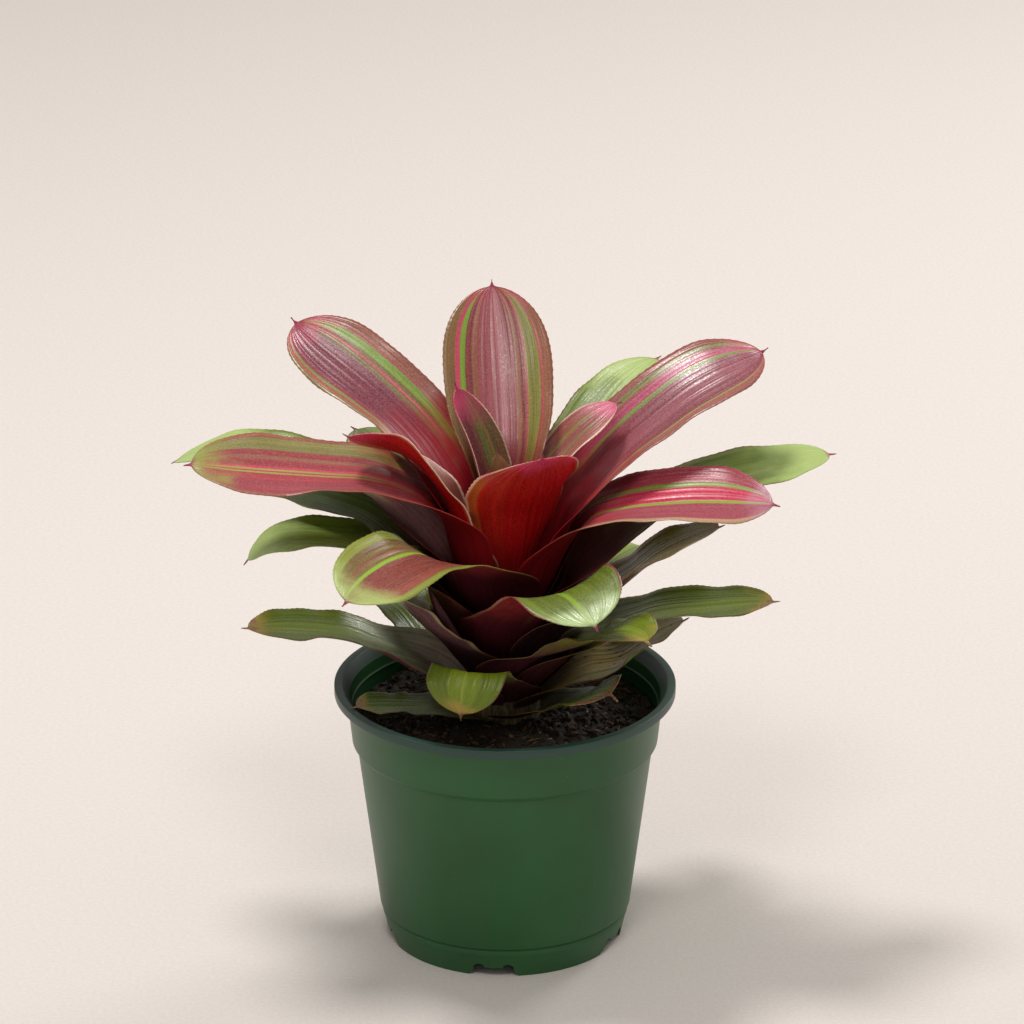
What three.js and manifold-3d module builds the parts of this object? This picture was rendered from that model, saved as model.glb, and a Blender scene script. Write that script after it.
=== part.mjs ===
// A potted bromeliad: a thin-walled nursery pot, its potting soil, and a rosette of strap leaves
// on a short stem. Millimetres, +Z up. The origin is on the pot's axis, on the surface that the
// pot stands on. +X is to the right and +Y to the back.
import * as THREE from "three";
import { mergeVertices } from "three/addons/utils/BufferGeometryUtils.js";
import Module from "manifold-3d";

const wasm = await Module();
wasm.setup();

// ---------------------------------------------------------------- driving dimensions

const POT = {
  height: 130,
  rimRadius: 82.5, // outside of the rolled lip
  lipWidth: 3.8, // flat top of the lip
  lipHeight: 4.3,
  bandTopRadius: 76.6, // stacking band under the lip
  bandBottomRadius: 74,
  bandHeight: 28.5, // from the rim's top to the band's lower edge
  ledge: 2.6, // drop of the slanted ledge below the band
  bodyTopRadius: 71.6,
  bodyBottomRadius: 61,
  footHeight: 16, // from the surface to the groove above the foot
  grooveRadius: 59.2,
  groove: 0.9,
  footTopRadius: 60,
  footRadius: 57,
  wall: 1.5,
  floorHeight: 8.4, // underside of the floor
  floor: 1.8,
  corner: 1.6, // bevel between the wall and the floor, inside
  sides: 48,
};
const NOTCH = {
  count: 5,
  first: -95.5, // degrees in plan
  height: 6.6,
  topWidth: 20,
  bottomWidth: 27.5,
  tabWidth: 10.6, // the moulding tab that hangs in the notch
  tabDrop: 1.9,
};
const DRAIN = { radius: 4, ring: 46, sides: 16 }; // round holes through the floor, above the notches
const SOIL = { headspace: 18, mound: 5, clearance: 0.3 };
const STEM = { soilRadius: 17.5, topRadius: 3, taper: 1.5, depth: 24, sides: 28, steps: 6 };
const LEAF = {
  thickness: 0.8, // of the blade, at the midrib
  sheathThickness: 0.5,
  margin: 0.36,
  gap: 0.35, // between a leaf's base and the stem, and a resting tip and the rim
  firstLevel: 5, // height of the lowest leaf's base above the soil
  pitch: 1.65, // from one leaf's base to the next, up the stem
  clasp: 72, // degrees that a sheath reaches round the stem, each way
  claspEnd: 8.5, // distance out from the stem's side where a sheath starts to open
  bladeStart: 44.5, // distance out where it has become a blade
  channel: 24, // degrees that a blade's margins turn up
  flatTip: 0.6, // share of that lost by the tip
  reach: 1, // scale of every leaf's path
  sheath: 1.55, // width of a sheath as a share of its blade's
  tip: 0.95, // length of a rounded tip as a share of the blade's width
  straight: [0.4, 0.78], // shares of the way to a path's first point that lie on a straight line
  across: 6, // facets across the blade
  along: 7, // stations from the base to the start of the tip
};
// The heart of the rosette bulges: the sheaths press each other outwards. Distances are from the
// stem's side and heights from the soil, both before LEAF.reach scales them.
const BULGE = {
  out: 12, // farthest that a sheath is pushed out
  near: -8, // distance where the push starts
  peak: 18, // distance where it is greatest
  far: 66.5, // distance where it has died away
  bottom: 2, // height where it starts
  full: 34, // height where it is complete
  fading: 78, // height where it starts to fade
  top: 150, // height where it ends
};

// The leaves, from the lowest and oldest to the innermost. Each path starts on the stem and runs to
// the tip through [distance out from the stem's side at the soil, height above the soil].
// azimuth: degrees in plan. width: across the blade. roll: degrees that the blade has turned about
// its midrib by the tip. tip: length of the rounded tip as a share of the width. unfurl: how far the
// end has opened flat by itself, close to the stem.
const LEAVES = [
  // The lowest leaf lies across the rim.
  { azimuth: 204, width: 26, path: [[10.5, 10], [36.5, 15], "rim"] },
  { azimuth: -42, width: 34, roll: -12, path: [[10.5, 14], [30.5, 28], [49.5, 32]] },
  { azimuth: 85, width: 28, path: [[10.5, 18], [40.5, 27], [68.5, 24]] },
  { azimuth: 135, width: 34, path: [[10.5, 23], [47.5, 38], [86.5, 34]] },
  { azimuth: -4, width: 36, path: [[10.5, 27], [28.5, 32], [49.5, 43], [71.5, 54]] },
  { azimuth: 195, width: 40, path: [[10.5, 30.5], [42.5, 45], [74.5, 55], [112.5, 60.5]] },
  { azimuth: -110, width: 31, path: [[10.5, 34], [24.5, 44], [39.5, 23]] },
  { azimuth: 55, width: 38, path: [[10.5, 38], [44.5, 52], [82.5, 56], [106.5, 46]] },
  { azimuth: -9, width: 40, path: [[10.5, 42], [46.5, 57], [78.5, 63], [115.5, 69]] },
  { azimuth: -46, width: 42, path: [[10.5, 46], [34.5, 59], [58.5, 67], [81.5, 70]] },
  { azimuth: 203, width: 46, path: [[7.5, 45.5], [19.5, 63], [34.5, 76], [50.5, 82]] },
  { azimuth: 104, width: 40, path: [[7.5, 50], [42.5, 70], [76.5, 75], [95.5, 67]] },
  { azimuth: -12, width: 44, path: [[10.5, 60.9], [40.5, 81.2], [67.5, 97], [89.5, 109]] },
  { azimuth: -66, width: 48, roll: -14, path: [[10.5, 66], [38.5, 88], [64.5, 93], [88.5, 87]] },
  { azimuth: 183, width: 40, path: [[10.5, 73], [34.5, 88], [62.5, 93.4], [91.5, 94.2], [108.5, 83]] },
  { azimuth: 162, width: 42, path: [[10.5, 76.5], [42.5, 95], [77.5, 103], [106.5, 105]] },
  { azimuth: 12, width: 48, path: [[10.5, 78], [42.5, 97.5], [78.5, 111], [113.5, 118], [145.5, 124]] },
  { azimuth: 135, width: 42, path: [[10.5, 82], [42.5, 103], [67.5, 113], [88.5, 122]] },
  { azimuth: -125, width: 46, roll: 16, path: [[10.5, 88.1], [36.5, 102.4], [74.5, 108], [113.5, 104]] },
  { azimuth: 75, width: 42, path: [[10.5, 86], [37.5, 99], [58.5, 112.5], [74.5, 112]] },
  {
    azimuth: 160,
    width: 44,
    path: [[10.5, 93.4], [30.5, 105.2], [57.5, 113], [98.5, 119], [132.5, 118], [155.5, 109]],
  },
  { azimuth: 50, width: 44, path: [[10.5, 97.5], [40.5, 119], [72.5, 141], [100.5, 153]] },
  {
    azimuth: -8,
    width: 46,
    roll: -16,
    path: [[10.5, 102], [24.5, 110], [42.5, 113.5], [76.5, 118], [114.5, 118]],
  },
  {
    azimuth: 22,
    width: 48,
    roll: -16,
    path: [[10.5, 107.5], [26.5, 122], [54.5, 142], [83.5, 159], [119.5, 170]],
  },
  { azimuth: 186, width: 48, roll: 16, path: [[10.5, 111], [38.5, 125], [82.5, 131], [135.5, 138]] },
  { azimuth: 140, width: 44, roll: 22, path: [[10.5, 115], [36.5, 136], [72.5, 154], [118.5, 172]] },
  { azimuth: 188, width: 38, roll: -34, path: [[6.5, 113], [18.5, 130], [34.5, 141], [60.5, 150]] },
  { azimuth: -62, width: 60, tip: 0.5, unfurl: 0.4, path: [[1, 112], [11, 132], [21.5, 149.5]] },
  { azimuth: 28, width: 26, roll: -8, tip: 1.5, path: [[1, 121], [22.5, 141], [45.5, 153]] },
  { azimuth: 95, width: 55, path: [[-2.5, 127], [22.5, 158], [42.5, 182], [56.5, 198]] },
  { azimuth: 152, width: 48, unfurl: 0.4, path: [[-9.5, 115], [-1, 142], [10.5, 168]] },
  { azimuth: -108, width: 42, path: [[-10.5, 115], [-5.5, 143]] },
];

const ROSETTE_BASE = POT.height - SOIL.headspace + LEAF.firstLevel;
const ROSETTE_TOP = ROSETTE_BASE + LEAF.pitch * (LEAVES.length - 1);

// ---------------------------------------------------------------- shared geometry

const degrees = THREE.MathUtils.degToRad;
const smoothstep = THREE.MathUtils.smoothstep;
const lerp = THREE.MathUtils.lerp;

function solidOf(geometry) {
  geometry.deleteAttribute("normal");
  geometry.deleteAttribute("uv");
  const merged = mergeVertices(geometry, 1e-4);
  return new wasm.Manifold(
    new wasm.Mesh({
      numProp: 3,
      vertProperties: new Float32Array(merged.attributes.position.array),
      triVerts: new Uint32Array(merged.index.array),
    }),
  );
}

function geometryOf(solid) {
  const mesh = solid.getMesh();
  const geometry = new THREE.BufferGeometry();
  geometry.setAttribute("position", new THREE.BufferAttribute(mesh.vertProperties, 3));
  geometry.setIndex(new THREE.BufferAttribute(mesh.triVerts, 1));
  return geometry;
}

// A solid of revolution about the Z axis, from [radius, height] points given anticlockwise.
function turned(profile, sides) {
  const points = profile.map(([radius, height]) => new THREE.Vector2(radius, height));
  return new THREE.LatheGeometry(points, sides).rotateX(Math.PI / 2);
}

function named(name, geometry, colour, roughness) {
  const flat = geometry.index ? geometry.toNonIndexed() : geometry;
  flat.computeVertexNormals();
  const material = new THREE.MeshStandardMaterial({ color: colour, roughness, metalness: 0 });
  const mesh = new THREE.Mesh(flat, material);
  mesh.name = name;
  return mesh;
}

// ---------------------------------------------------------------- pot

// The inner face follows the outer one at the wall's thickness. Heights are from the surface.
const bandBottom = POT.height - POT.bandHeight;
const bodyTop = bandBottom - POT.ledge;
const floorTop = POT.floorHeight + POT.floor;
const lipBottom = POT.height - POT.lipHeight;
const innerRim = POT.rimRadius - POT.lipWidth;

function bodyInnerRadius(height) {
  const share = (height - POT.footHeight) / (bodyTop - POT.footHeight);
  return lerp(POT.bodyBottomRadius, POT.bodyTopRadius, share) - POT.wall;
}

function bandInnerRadius(height) {
  const share = (height - bandBottom) / (lipBottom - bandBottom);
  return lerp(POT.bandBottomRadius, POT.bandTopRadius, share) - POT.wall;
}

function makePot() {
  const edge = 0.6; // rounding of the lip's and the foot's edges
  const footInner = POT.footRadius - POT.wall - 1;
  const profile = [
    [0, POT.floorHeight],
    [footInner, POT.floorHeight],
    [footInner, 0],
    [POT.footRadius - edge, 0],
    [POT.footRadius, edge],
    [POT.footTopRadius, POT.footHeight - 2 * POT.groove],
    [POT.grooveRadius, POT.footHeight - POT.groove],
    [POT.bodyBottomRadius, POT.footHeight],
    [POT.bodyTopRadius, bodyTop],
    [POT.bandBottomRadius, bandBottom],
    [POT.bandTopRadius, lipBottom],
    [POT.rimRadius - edge, lipBottom],
    [POT.rimRadius, lipBottom + edge],
    [POT.rimRadius, POT.height - edge],
    [POT.rimRadius - edge, POT.height],
    [innerRim + edge, POT.height],
    [innerRim, POT.height - edge],
    [bandInnerRadius(lipBottom), lipBottom - 2 * edge],
    [bandInnerRadius(bandBottom), bandBottom],
    [bodyInnerRadius(bodyTop), bodyTop],
    [bodyInnerRadius(floorTop + POT.corner), floorTop + POT.corner],
    [bodyInnerRadius(floorTop) - POT.corner, floorTop],
    [0, floorTop],
  ];
  let pot = solidOf(turned(profile, POT.sides));
  for (let i = 0; i < NOTCH.count; i += 1) {
    const turn = degrees(NOTCH.first + (360 / NOTCH.count) * i);
    pot = pot.subtract(solidOf(makeNotch().rotateZ(turn)));
    pot = pot.subtract(solidOf(makeDrain().rotateZ(turn)));
  }
  return geometryOf(pot);
}

// The cutter for one drain notch: a flared slot with a tab in its top, through the foot's wall.
function makeNotch() {
  const half = NOTCH.bottomWidth / 2;
  const top = NOTCH.topWidth / 2;
  const tab = NOTCH.tabWidth / 2;
  const below = 2;
  const shape = new THREE.Shape();
  shape.moveTo(half + below, -below);
  shape.quadraticCurveTo(top, -below / 4, top, NOTCH.height / 2);
  shape.quadraticCurveTo(top, NOTCH.height, top - NOTCH.tabDrop, NOTCH.height);
  shape.lineTo(tab, NOTCH.height);
  shape.lineTo(tab - 1, NOTCH.height - NOTCH.tabDrop);
  shape.lineTo(1 - tab, NOTCH.height - NOTCH.tabDrop);
  shape.lineTo(-tab, NOTCH.height);
  shape.lineTo(NOTCH.tabDrop - top, NOTCH.height);
  shape.quadraticCurveTo(-top, NOTCH.height, -top, NOTCH.height / 2);
  shape.quadraticCurveTo(-top, -below / 4, -half - below, -below);
  const depth = POT.footRadius * 0.4;
  const cutter = new THREE.ExtrudeGeometry(shape, { depth, bevelEnabled: false, curveSegments: 4 });
  // The slot's width lies along Y and its depth along X, from inside the foot's wall outwards.
  return cutter.rotateX(Math.PI / 2).rotateZ(Math.PI / 2).translate(POT.footRadius - depth / 2, 0, 0);
}

function makeDrain() {
  const drain = new THREE.CylinderGeometry(DRAIN.radius, DRAIN.radius, 3 * POT.floor, DRAIN.sides);
  return drain.rotateX(Math.PI / 2).translate(DRAIN.ring, 0, POT.floorHeight + POT.floor / 2);
}

// ---------------------------------------------------------------- stem and soil

const soilTop = POT.height - SOIL.headspace;

// The stem tapers from the soil to its growing point, and ends in a blunt root below the soil.
function stemRadius(height) {
  const share = THREE.MathUtils.clamp((height - soilTop) / (ROSETTE_TOP - soilTop), 0, 1);
  return lerp(STEM.soilRadius, STEM.topRadius, share ** STEM.taper);
}

function stemProfile(grow) {
  const foot = soilTop - STEM.depth;
  const tip = ROSETTE_TOP + STEM.topRadius;
  const profile = [
    [0, foot - grow],
    [STEM.soilRadius * 0.6 + grow, foot - grow],
    [STEM.soilRadius + grow, foot + STEM.depth / 3],
  ];
  for (let i = 0; i <= STEM.steps; i += 1) {
    const height = lerp(soilTop, ROSETTE_TOP, i / STEM.steps);
    profile.push([stemRadius(height) + grow, height]);
  }
  profile.push([STEM.topRadius * 0.6 + grow, ROSETTE_TOP + STEM.topRadius * 0.7], [0, tip + grow]);
  return profile;
}

function makeStem() {
  return turned(stemProfile(0), STEM.sides);
}

// The soil fills the pot up to the headspace and rises a little to the stem.
function makeSoil() {
  const profile = [
    [0, floorTop + SOIL.clearance],
    [bodyInnerRadius(floorTop) - POT.corner - SOIL.clearance, floorTop + SOIL.clearance],
    [bodyInnerRadius(floorTop + POT.corner) - SOIL.clearance, floorTop + POT.corner + SOIL.clearance],
    [bodyInnerRadius(bodyTop) - SOIL.clearance, bodyTop],
    [bandInnerRadius(bandBottom) - SOIL.clearance, bandBottom + SOIL.clearance],
    [bandInnerRadius(soilTop) - SOIL.clearance, soilTop],
    [POT.bodyTopRadius * 0.6, soilTop + SOIL.mound * 0.4],
    [0, soilTop + SOIL.mound],
  ];
  const socket = solidOf(turned(stemProfile(SOIL.clearance), STEM.sides));
  return geometryOf(solidOf(turned(profile, POT.sides)).subtract(socket));
}

// ---------------------------------------------------------------- leaves

// The midrib in the leaf's own upright plane: x is the distance from the axis, z the height.
function midrib(leaf, base) {
  const start = new THREE.Vector3(stemRadius(base) + LEAF.gap + LEAF.sheathThickness / 2, 0, base);
  const points = leaf.path.map((point) => {
    if (point === "rim") {
      const lift = LEAF.gap + LEAF.thickness;
      return new THREE.Vector3(POT.rimRadius - POT.lipWidth / 2, 0, POT.height + lift);
    }
    const out = STEM.soilRadius + point[0] * LEAF.reach;
    return new THREE.Vector3(out, 0, soilTop + point[1] * LEAF.reach);
  });
  // The sheath is nearly straight, so that it lies close on the ones inside and outside it.
  const sheath = LEAF.straight.map((share) => start.clone().lerp(points[0], share));
  return new THREE.CatmullRomCurve3([start, ...sheath, ...points], false, "centripetal");
}

// Stations along the midrib as [share of the length, share of the full half-width].
function stations(leaf, length) {
  const tipStart = 1 - Math.min(0.42, ((leaf.tip ?? LEAF.tip) * leaf.width) / length);
  const list = [];
  for (let i = 0; i <= LEAF.along; i += 1) {
    const share = i / LEAF.along;
    list.push([share * tipStart, lerp(LEAF.sheath, 1, smoothstep(share, 0.15, 0.65))]);
  }
  for (const step of [0.35, 0.62, 0.82, 0.95]) {
    list.push([lerp(tipStart, 1, step), (1 - step ** 2.2) ** 0.7]);
  }
  return list;
}

// One leaf: a loft of thin lens-shaped sections that starts as a sheath round the stem, opens into
// a channelled blade, and closes in a point.
function makeLeaf(leaf, level) {
  const base = ROSETTE_BASE + LEAF.pitch * level;
  const curve = midrib(leaf, base);
  const length = curve.getLength();
  const roll = degrees(leaf.roll ?? 0);
  const channel = degrees(LEAF.channel);
  const turn = degrees(leaf.azimuth);
  const out = radial(turn);
  const side = radial(turn - Math.PI / 2);
  const rings = [];
  for (const [share, widthShare] of stations(leaf, length)) {
    rings.push(section(share, (widthShare * leaf.width) / 2));
  }

  function frameAt(share) {
    const point = curve.getPointAt(share);
    const ahead = curve.getTangentAt(share);
    const face = out.clone().multiplyScalar(-ahead.z).setZ(ahead.x);
    const spin = roll * smoothstep(share, 0.3, 0.85);
    const across = side.clone().multiplyScalar(Math.cos(spin)).addScaledVector(face, Math.sin(spin));
    const up = face.clone().multiplyScalar(Math.cos(spin)).addScaledVector(side, -Math.sin(spin));
    const centre = out.clone().multiplyScalar(point.x).setZ(point.z);
    return { point, across, up, centre };
  }

  // A ring of points: the upper face from one margin to the other, then the lower face back.
  function section(share, half) {
    const { point, across, up, centre } = frameAt(share);
    const bend = channel * (1 - LEAF.flatTip * smoothstep(share, 0.6, 1));
    const beyond = (point.x - STEM.soilRadius) / LEAF.reach;
    const unfurled = (leaf.unfurl ?? 0) * smoothstep(share, 0.3, 0.75);
    const open = Math.max(smoothstep(beyond, LEAF.claspEnd, LEAF.bladeStart), unfurled);
    const wrap = Math.min(half / point.x, degrees(LEAF.clasp));
    // Facets that lie half outside and half inside the true curve keep the layers apart.
    const facet = Math.sqrt(Math.cos(wrap / LEAF.across));
    const full = lerp(LEAF.sheathThickness, LEAF.thickness, smoothstep(share, 0.2, 0.5));
    const upper = [];
    const lower = [];
    for (let i = 0; i <= LEAF.across; i += 1) {
      const u = (2 * i) / LEAF.across - 1;
      const flat = centre
        .clone()
        .addScaledVector(across, (half * Math.sin(bend * u)) / bend)
        .addScaledVector(up, (half * (1 - Math.cos(bend * u))) / bend);
      const around = turn - wrap * u;
      const clasped = radial(around).multiplyScalar(point.x / facet).setZ(point.z);
      const middle = clasped.lerp(flat, open);
      const claspedUp = radial(around).multiplyScalar(up.dot(radial(turn))).setZ(up.z);
      const flatUp = up
        .clone()
        .multiplyScalar(Math.cos(bend * u))
        .addScaledVector(across, -Math.sin(bend * u));
      const normal = claspedUp.lerp(flatUp, open).normalize();
      const skin = lerp(full, LEAF.margin, Math.abs(u)) / 2;
      upper.push(middle.clone().addScaledVector(normal, skin));
      lower.push(middle.clone().addScaledVector(normal, -skin));
    }
    return [...upper, ...lower.reverse()];
  }

  const bulgedRings = rings.map((ring) => ring.map(bulged));
  return loft(bulgedRings, bulged(frameAt(1).centre));
}

function radial(turn) {
  return new THREE.Vector3(Math.cos(turn), Math.sin(turn), 0);
}

// Moves a point of a leaf out from the axis by the bulge of the rosette's heart.
function bulged(point) {
  const radius = Math.hypot(point.x, point.y);
  const distance = (radius - STEM.soilRadius) / LEAF.reach;
  const rise = (point.z - soilTop) / LEAF.reach;
  const beyondPeak = smoothstep(distance, BULGE.peak, BULGE.far);
  const outward = smoothstep(distance, BULGE.near, BULGE.peak) * (1 - beyondPeak);
  const faded = smoothstep(rise, BULGE.fading, BULGE.top);
  const upward = smoothstep(rise, BULGE.bottom, BULGE.full) * (1 - faded);
  const scale = 1 + (BULGE.out * LEAF.reach * outward * upward) / radius;
  return new THREE.Vector3(point.x * scale, point.y * scale, point.z);
}

// A closed skin over rings of equal count: flat across the first ring, to a point past the last.
function loft(rings, tip) {
  const count = rings[0].length;
  const positions = rings.flat().concat([tip]).flatMap((point) => point.toArray());
  const faces = [];
  for (let i = 0; i < rings.length - 1; i += 1) {
    for (let j = 0; j < count; j += 1) {
      const a = i * count + j;
      const b = i * count + ((j + 1) % count);
      faces.push([a, b, b + count], [a, b + count, a + count]);
    }
  }
  const last = (rings.length - 1) * count;
  for (let j = 0; j < count; j += 1) {
    faces.push([last + j, last + ((j + 1) % count), last + count]);
  }
  // The base is a strip between the upper and the lower face.
  for (let j = 0; j < count / 2 - 1; j += 1) {
    const far = count - 1 - j;
    faces.push([j + 1, j, far], [j + 1, far, far - 1]);
  }
  const geometry = new THREE.BufferGeometry();
  geometry.setAttribute("position", new THREE.Float32BufferAttribute(positions, 3));
  geometry.setIndex(faces.flat());
  return geometry;
}

// ---------------------------------------------------------------- assembly

const COLOURS = { pot: 0x2f5a38, soil: 0x241a14, stem: 0x8a7a4a, old: 0x6f8a3a, young: 0x9a4a5c };

const plant = new THREE.Group();
plant.add(named("pot", makePot(), COLOURS.pot, 0.45));
plant.add(named("soil", makeSoil(), COLOURS.soil, 1));
plant.add(named("stem", makeStem(), COLOURS.stem, 0.8));
LEAVES.forEach((leaf, level) => {
  const name = `leaf_${String(level + 1).padStart(2, "0")}`;
  const colour = level < LEAVES.length / 2 ? COLOURS.old : COLOURS.young;
  plant.add(named(name, makeLeaf(leaf, level), colour, 0.35));
});

export default plant;
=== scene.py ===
import math
import random

import bmesh
import bpy
import numpy as np
from mathutils import Matrix, Vector, noise


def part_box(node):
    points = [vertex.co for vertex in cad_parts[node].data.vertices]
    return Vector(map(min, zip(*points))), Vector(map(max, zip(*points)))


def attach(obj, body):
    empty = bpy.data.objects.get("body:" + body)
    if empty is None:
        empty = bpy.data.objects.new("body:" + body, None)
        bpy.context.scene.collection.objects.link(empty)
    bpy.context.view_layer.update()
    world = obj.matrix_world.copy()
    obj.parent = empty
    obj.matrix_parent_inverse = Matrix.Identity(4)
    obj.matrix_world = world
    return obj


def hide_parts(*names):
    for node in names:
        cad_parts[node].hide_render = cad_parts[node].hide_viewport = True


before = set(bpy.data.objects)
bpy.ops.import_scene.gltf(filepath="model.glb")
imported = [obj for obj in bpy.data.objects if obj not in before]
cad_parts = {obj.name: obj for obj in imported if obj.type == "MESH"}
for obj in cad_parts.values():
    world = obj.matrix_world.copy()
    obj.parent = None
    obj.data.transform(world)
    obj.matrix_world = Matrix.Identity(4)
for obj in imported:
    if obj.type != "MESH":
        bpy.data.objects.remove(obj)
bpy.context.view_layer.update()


# ---------------------------------------------------------------- nursery pot
# The pot is injection-moulded polypropylene, dyed green through. It has a rolled lip, a band under it
# that pots stack on, a tapering body, and a foot with five drain slots, each with a moulding tab.

MM = 0.001
POT_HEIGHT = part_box("pot")[1].z / MM
LIP_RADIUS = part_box("pot")[1].x / MM
LIP_WIDTH = 3.8
LIP_HEIGHT = 4.3
BAND_TOP = 76.6
BAND_BOTTOM = 74.0
BAND_HEIGHT = 28.5
LEDGE = 2.6
BODY_TOP = 71.6
BODY_BOTTOM = 61.0
FOOT_HEIGHT = 16.0
FOOT_RADIUS = 57.0
FOOT_TOP_RADIUS = 60.0
GROOVE = 0.9
WALL = 1.5
FLOOR_UNDER = 8.4
FLOOR_TOP = 10.2
POT_STEPS = 180
EDGE_ROUNDING = 0.45
RIDGE_DROP = 11.5  # from the rim down to the moulded ridge inside the band
CORNER = 2.4  # bevel between the wall and the floor, inside
SLOTS = 5
FIRST_SLOT = -95.5
SLOT_HEIGHT = 6.6
SLOT_TOP = 20.0
SLOT_BOTTOM = 27.5
TAB_WIDTH = 10.6
TAB_DROP = 1.9
DRAIN_RING = 46.0
DRAIN_RADIUS = 4.0


def linear(hex_colour):
    """An sRGB colour such as "2f5a38" as linear red, green, blue and 1."""
    parts = [int(hex_colour[i:i + 2], 16) / 255 for i in (0, 2, 4)]
    return [p / 12.92 if p <= 0.04045 else ((p + 0.055) / 1.055) ** 2.4 for p in parts] + [1]


def add(tree, kind, inputs=None, stops=None, **settings):
    """Adds a node to a material: its settings, its inputs as values or as outputs that feed them."""
    new = tree.nodes.new(kind)
    for key, value in settings.items():
        setattr(new, key, value)
    for key, value in (inputs or {}).items():
        if isinstance(value, bpy.types.NodeSocket):
            tree.links.new(value, new.inputs[key])
        else:
            new.inputs[key].default_value = value
    if stops:
        points = new.color_ramp.elements
        while len(points) < len(stops):
            points.new(1)
        for point, (place, colour) in zip(points, stops):
            point.position = place
            point.color = colour
    return new


def material(name):
    """A new material and its node tree, empty but for the output."""
    made = bpy.data.materials.new(name)
    made.use_nodes = True
    tree = made.node_tree
    tree.nodes.clear()
    return made, tree


def finish_material(tree, shader):
    out = add(tree, "ShaderNodeOutputMaterial")
    tree.links.new(shader.outputs[0], out.inputs["Surface"])


def piece(name, mesh, materials, smooth=True):
    """A named object at the origin from a bmesh, with its materials."""
    data = bpy.data.meshes.new(name)
    mesh.to_mesh(data)
    mesh.free()
    data.polygons.foreach_set("use_smooth", [smooth] * len(data.polygons))
    for each in materials:
        data.materials.append(each)
    made = bpy.data.objects.new(name, data)
    bpy.context.scene.collection.objects.link(made)
    return made


def sharpen(mesh, angle=35):
    """Edges that turn by more than the angle keep a crisp shading."""
    for edge in mesh.edges:
        if len(edge.link_faces) == 2 and edge.calc_face_angle(0) > math.radians(angle):
            edge.smooth = False


def moulded_polypropylene():
    """Satin green plastic: faint dust and handling marks, pale scuffs low on the foot, and painted shade
    and reflection that make the lip a darker blue-green.
    """
    made, tree = material("moulded_green_polypropylene")
    place = add(tree, "ShaderNodeTexCoord").outputs["Object"]
    cloud = add(tree, "ShaderNodeTexNoise", {"Vector": place, "Scale": 1 / (60 * MM), "Detail": 4.0})
    tint = add(tree, "ShaderNodeValToRGB", {"Fac": cloud.outputs["Fac"]},
               stops=[(0.3, linear("14481c")), (0.7, linear("1c5828"))])
    height = add(tree, "ShaderNodeSeparateXYZ", {"Vector": place})
    # The lip is painted a darker blue-green: painted shade and reflection on the same plastic as the
    # body.
    painted_lip_shade = add(tree, "ShaderNodeMapRange", {
        "Value": height.outputs["Z"],
        "From Min": (POT_HEIGHT - LIP_HEIGHT - 1) * MM, "From Max": (POT_HEIGHT - LIP_HEIGHT) * MM})
    body = add(tree, "ShaderNodeMix", {
        0: painted_lip_shade.outputs[0], 6: tint.outputs["Color"], 7: linear("223f36")},
        data_type="RGBA")
    low = add(tree, "ShaderNodeMapRange", {
        "Value": height.outputs["Z"], "From Min": FOOT_HEIGHT * MM, "From Max": 0.0})
    scratch_place = add(tree, "ShaderNodeMapping", {"Vector": place, "Scale": (1, 1, 2.5)})
    scratch = add(tree, "ShaderNodeTexNoise", {
        "Vector": scratch_place.outputs[0], "Scale": 1 / (5 * MM), "Detail": 6.0, "Roughness": 0.7})
    worn = add(tree, "ShaderNodeMapRange", {
        "Value": scratch.outputs["Fac"], "From Min": 0.7, "From Max": 0.76, "To Max": 0.7})
    worn_low = add(tree, "ShaderNodeMath", {0: worn.outputs[0], 1: low.outputs[0]}, operation="MULTIPLY")
    dust = add(tree, "ShaderNodeTexNoise", {"Vector": place, "Scale": 1 / (1.2 * MM), "Detail": 2.0})
    speck = add(tree, "ShaderNodeMapRange", {
        "Value": dust.outputs["Fac"], "From Min": 0.74, "From Max": 0.8, "To Max": 0.35})
    marks = add(tree, "ShaderNodeMath", {0: worn_low.outputs[0], 1: speck.outputs[0]},
                operation="MAXIMUM")
    colour = add(tree, "ShaderNodeMix", {
        0: marks.outputs[0], 6: body.outputs[2], 7: linear("8fa08c")},
        data_type="RGBA")
    rough = add(tree, "ShaderNodeMapRange", {
        "Value": cloud.outputs["Fac"], "To Min": 0.36, "To Max": 0.5})
    grain = add(tree, "ShaderNodeTexNoise", {"Vector": place, "Scale": 1 / (0.5 * MM), "Detail": 2.0})
    bump = add(tree, "ShaderNodeBump", {
        "Height": grain.outputs["Fac"], "Strength": 0.25, "Distance": 0.05 * MM})
    shader = add(tree, "ShaderNodeBsdfPrincipled", {
        "Base Color": colour.outputs[2], "Roughness": rough.outputs[0], "IOR": 1.49,
        "Normal": bump.outputs[0]})
    finish_material(tree, shader)
    return made


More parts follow.
